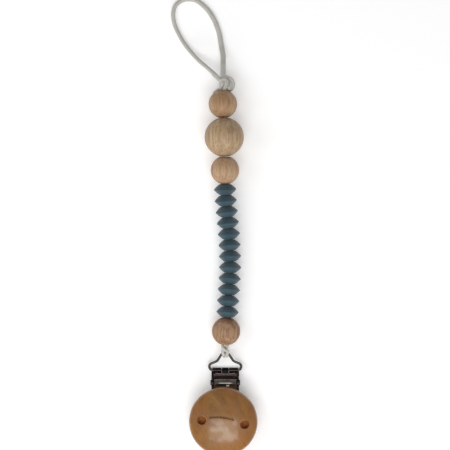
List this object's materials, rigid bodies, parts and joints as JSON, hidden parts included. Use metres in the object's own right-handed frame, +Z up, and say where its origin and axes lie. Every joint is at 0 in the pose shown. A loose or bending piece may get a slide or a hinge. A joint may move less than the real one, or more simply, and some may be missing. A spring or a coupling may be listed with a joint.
{
  "type": "soother clip",
  "caption": "Wooden-faced spring clip with a wire bail, a doubled cord strung with wooden and silicone beads, a knot and a free cord loop that holds a soother.",
  "frame": {"origin": "on the surface the part lies on, under the middle of its box without the free cord loop", "axes": "+Y along the strap from the clip towards the cord loop, +Z up out of the wooden face, +X to the right as seen from above with the loop away"},
  "size_m": [0.0443, 0.235, 0.0202],
  "materials": {
    "oiled_wood": "oiled, glossy",
    "bare_wood": "sanded, satin",
    "silicone": "matte, slightly dusty",
    "satin_cord": "satin braided cord",
    "gunmetal": "black nickel, glossy",
    "bail_wire": "worn black nickel",
    "screw_steel": "zinc plated",
    "pad_plastic": "moulded"
  },
  "bodies": {
    "clip_body": {"back_plate": "gunmetal", "jaw_pad": "pad_plastic", "lever_pin": "gunmetal"},
    "lever": {"lever_plate": "gunmetal", "face_screws": "screw_steel", "wooden_face": "oiled_wood"},
    "jaw": {"spring_jaw": "gunmetal"},
    "bail": {"bail": "bail_wire", "lower_hitch": "satin_cord"},
    "cord_bottom": {"cord_bead_bottom": "satin_cord"},
    "bead_bottom": {"bead_bottom": "bare_wood"},
    "lentil_1": {"lentil_1": "silicone", "cord_lentil_1": "satin_cord"},
    "lentil_2": {"lentil_2": "silicone", "cord_lentil_2": "satin_cord"},
    "lentil_3": {"lentil_3": "silicone", "cord_lentil_3": "satin_cord"},
    "lentil_4": {"lentil_4": "silicone", "cord_lentil_4": "satin_cord"},
    "lentil_5": {"lentil_5": "silicone", "cord_lentil_5": "satin_cord"},
    "lentil_6": {"lentil_6": "silicone", "cord_lentil_6": "satin_cord"},
    "lentil_7": {"lentil_7": "silicone", "cord_lentil_7": "satin_cord"},
    "lentil_8": {"lentil_8": "silicone", "cord_lentil_8": "satin_cord"},
    "lentil_9": {"lentil_9": "silicone", "cord_lentil_9": "satin_cord"},
    "lentil_10": {"lentil_10": "silicone", "cord_lentil_10": "satin_cord"},
    "lentil_11": {"lentil_11": "silicone", "cord_lentil_11": "satin_cord"},
    "lentil_12": {"lentil_12": "silicone", "cord_lentil_12": "satin_cord"},
    "cord_upper": {"cord_bead_upper": "satin_cord"},
    "bead_upper": {"bead_upper": "bare_wood"},
    "cord_large": {"cord_bead_large": "satin_cord"},
    "bead_large": {"bead_large": "bare_wood"},
    "cord_top": {"cord_bead_top": "satin_cord", "top_knot": "satin_cord", "knot_tail": "satin_cord", "cord_loop": "satin_cord"},
    "bead_top": {"bead_top": "bare_wood"}
  },
  "joints": [
    {"name": "lever_open", "type": "hinge", "parent": "clip_body", "child": "lever", "pos_m": [0.001, -0.05964, 0.0052], "axis": [-1, 0, 0], "range_deg": [0, 100]},
    {"name": "jaw_open", "type": "hinge", "parent": "clip_body", "child": "jaw", "pos_m": [0.001, -0.05354, 0.00125], "axis": [-1, 0, 0], "range_deg": [0, 6]},
    {"name": "bail_swing", "type": "hinge", "parent": "clip_body", "child": "bail", "pos_m": [0.001, -0.05354, 0.00125], "axis": [-1, 0, 0], "range_deg": [-60, 100]},
    {"name": "bend_bottom", "type": "hinge", "parent": "bail", "child": "cord_bottom", "pos_m": [0.0008, -0.04014, 0.00706], "axis": [1, 0, 0], "range_deg": [-4, 4]},
    {"name": "spin_bead_bottom", "type": "hinge", "parent": "cord_bottom", "child": "bead_bottom", "pos_m": [0.00141, -0.03316, 0.0073], "axis": [0.0871, 0.9956, 0.0349], "continuous": true},
    {"name": "bend_lentil_1", "type": "hinge", "parent": "cord_bottom", "child": "lentil_1", "pos_m": [0.00202, -0.02618, 0.00755], "axis": [0, 0, 1], "range_deg": [-5.5, 1.5]},
    {"name": "bend_lentil_2", "type": "hinge", "parent": "lentil_1", "child": "lentil_2", "pos_m": [0.00232, -0.02047, 0.00745], "axis": [1, 0, 0], "range_deg": [-2.5, 6.5]},
    {"name": "bend_lentil_3", "type": "hinge", "parent": "lentil_2", "child": "lentil_3", "pos_m": [0.00262, -0.01477, 0.00715], "axis": [0, 0, 1], "range_deg": [-3.5, 5.5]},
    {"name": "bend_lentil_4", "type": "hinge", "parent": "lentil_3", "child": "lentil_4", "pos_m": [0.00302, -0.00907, 0.00675], "axis": [1, 0, 0], "range_deg": [-6.5, 2.5]},
    {"name": "bend_lentil_5", "type": "hinge", "parent": "lentil_4", "child": "lentil_5", "pos_m": [0.00342, -0.00337, 0.00655], "axis": [0, 0, 1], "range_deg": [-7, 1]},
    {"name": "bend_lentil_6", "type": "hinge", "parent": "lentil_5", "child": "lentil_6", "pos_m": [0.00352, 0.00235, 0.00655], "axis": [1, 0, 0], "range_deg": [-3.5, 3.5]},
    {"name": "bend_lentil_7", "type": "hinge", "parent": "lentil_6", "child": "lentil_7", "pos_m": [0.00332, 0.00806, 0.00655], "axis": [0, 0, 1], "range_deg": [-5, 3]},
    {"name": "bend_lentil_8", "type": "hinge", "parent": "lentil_7", "child": "lentil_8", "pos_m": [0.00302, 0.01377, 0.00675], "axis": [1, 0, 0], "range_deg": [-6.5, 2.5]},
    {"name": "bend_lentil_9", "type": "hinge", "parent": "lentil_8", "child": "lentil_9", "pos_m": [0.00262, 0.01946, 0.00715], "axis": [0, 0, 1], "range_deg": [-6.5, 2.5]},
    {"name": "bend_lentil_10", "type": "hinge", "parent": "lentil_9", "child": "lentil_10", "pos_m": [0.00202, 0.02513, 0.00765], "axis": [1, 0, 0], "range_deg": [-4.5, 4.5]},
    {"name": "bend_lentil_11", "type": "hinge", "parent": "lentil_10", "child": "lentil_11", "pos_m": [0.00143, 0.0308, 0.00815], "axis": [0, 0, 1], "range_deg": [-2.5, 6.5]},
    {"name": "bend_lentil_12", "type": "hinge", "parent": "lentil_11", "child": "lentil_12", "pos_m": [0.00103, 0.03648, 0.00865], "axis": [1, 0, 0], "range_deg": [-4, 4]},
    {"name": "bend_upper", "type": "hinge", "parent": "lentil_12", "child": "cord_upper", "pos_m": [0.00083, 0.04218, 0.00914], "axis": [0, 0, 1], "range_deg": [-2.5, 6.5]},
    {"name": "spin_bead_upper", "type": "hinge", "parent": "cord_upper", "child": "bead_upper", "pos_m": [0.00083, 0.04917, 0.00963], "axis": [0, 0.9976, 0.0698], "continuous": true},
    {"name": "bend_large", "type": "hinge", "parent": "cord_upper", "child": "cord_large", "pos_m": [0.00083, 0.05616, 0.01012], "axis": [1, 0, 0], "range_deg": [0, 8]},
    {"name": "spin_bead_large", "type": "hinge", "parent": "cord_large", "child": "bead_large", "pos_m": [0.00049, 0.06604, 0.01012], "axis": [-0.0349, 0.9994, 0], "continuous": true},
    {"name": "bend_top", "type": "hinge", "parent": "cord_large", "child": "cord_top", "pos_m": [0.00014, 0.07592, 0.01012], "axis": [0, 0, 1], "range_deg": [-3, 1]},
    {"name": "spin_bead_top", "type": "hinge", "parent": "cord_top", "child": "bead_top", "pos_m": [-0.00022, 0.0829, 0.00963], "axis": [-0.0522, 0.9962, -0.0698], "continuous": true}
  ],
  "couplings": [
    {"joint": "jaw_open", "follows": "lever_open", "ratio": 0.06}
  ]
}
